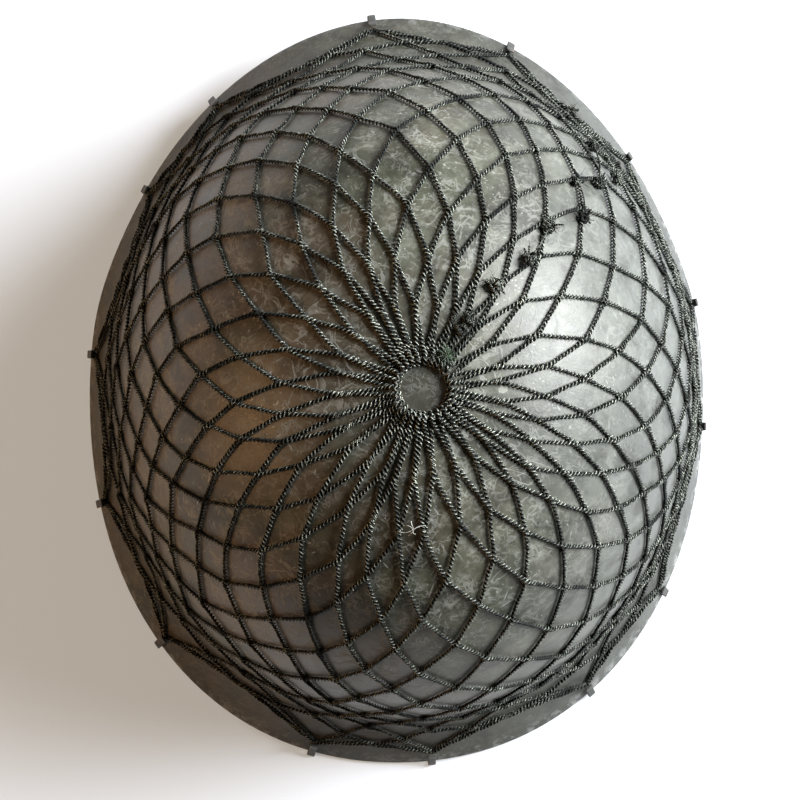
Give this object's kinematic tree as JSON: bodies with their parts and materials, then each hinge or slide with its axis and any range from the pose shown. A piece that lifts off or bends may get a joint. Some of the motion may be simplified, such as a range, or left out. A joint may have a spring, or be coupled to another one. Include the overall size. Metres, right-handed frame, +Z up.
{
  "type": "steel combat helmet with camouflage net",
  "caption": "Brimmed one-piece steel helmet shell with a diamond cord net gathered at the crown and clipped round the rim by small steel hooks.",
  "frame": {"origin": "on the surface the helmet stands on, under the middle of its bounding box", "axes": "+Z up through the crown; the visor faces -Y and the rear +Y; X runs across the width"},
  "size_m": [0.241, 0.2878, 0.1676],
  "materials": {
    "shell_paint": "worn semi-gloss olive-grey paint",
    "hook_paint": "worn paint over steel strip",
    "net_cord": "dark olive two-ply twisted cord",
    "ring_cord": "lighter twisted cord, dusty"
  },
  "bodies": {
    "root": {"steel_shell": "shell_paint", "camouflage_net": "net_cord", "crown_ring": "ring_cord", "edge_cord": "net_cord", "hook_01": "hook_paint", "hook_02": "hook_paint", "hook_03": "hook_paint", "hook_04": "hook_paint", "hook_05": "hook_paint", "hook_06": "hook_paint", "hook_07": "hook_paint", "hook_08": "hook_paint", "hook_09": "hook_paint", "hook_10": "hook_paint", "hook_11": "hook_paint", "hook_12": "hook_paint", "hook_13": "hook_paint", "hook_14": "hook_paint"}
  },
  "joints": []
}
